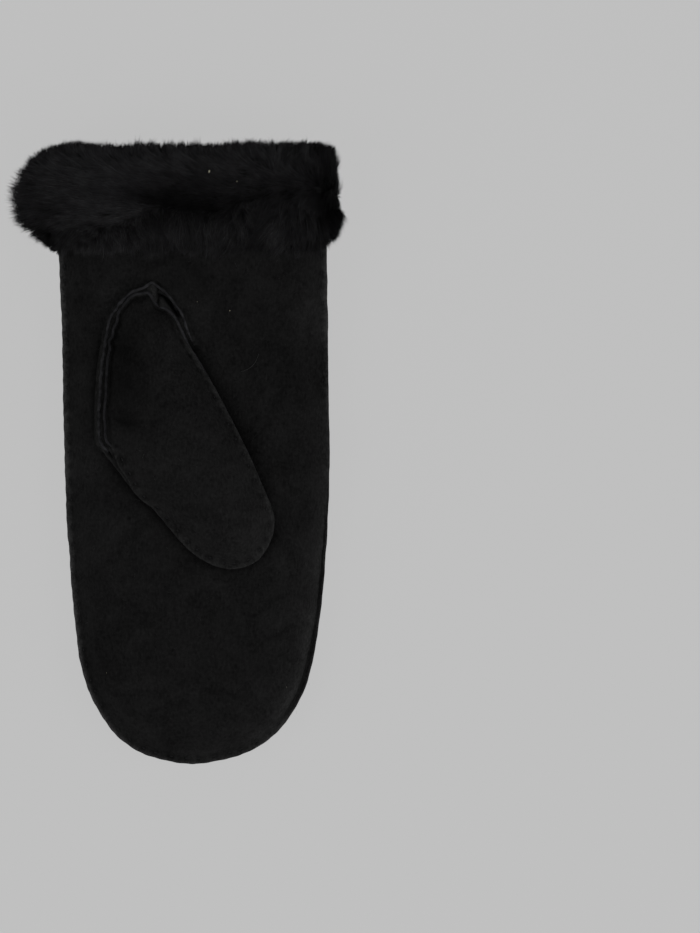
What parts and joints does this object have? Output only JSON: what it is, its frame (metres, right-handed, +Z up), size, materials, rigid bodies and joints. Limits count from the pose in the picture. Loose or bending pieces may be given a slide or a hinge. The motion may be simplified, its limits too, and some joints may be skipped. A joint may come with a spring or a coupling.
{
  "type": "sheepskin mitten",
  "caption": "Dark suede mitten for the right hand, lined with fleece, with a folded thumb and a rolled cuff of deep fur that keeps the hand and wrist warm.",
  "frame": {"origin": "on the resting plane, under the middle of the mitten's bounding box", "axes": "+X to the right side of the mitten as seen from above its palm, +Y from the fingertips to the mouth, +Z up from the back of the hand to the palm"},
  "size_m": [0.1467, 0.2731, 0.0518],
  "materials": {
    "suede": "black brushed suede with a short matt nap and a trace of sheen",
    "fleece": "black sheared sheepskin wool",
    "fur": "deep black combed sheepskin wool in soft locks, faintly bluish in the light"
  },
  "bodies": {
    "root": {"palm_panel": "suede", "back_panel": "suede", "palm_fleece": "fleece", "back_fleece": "fleece", "thumb_front": "suede", "thumb_back": "suede", "fur_cuff": "fur"}
  },
  "joints": []
}
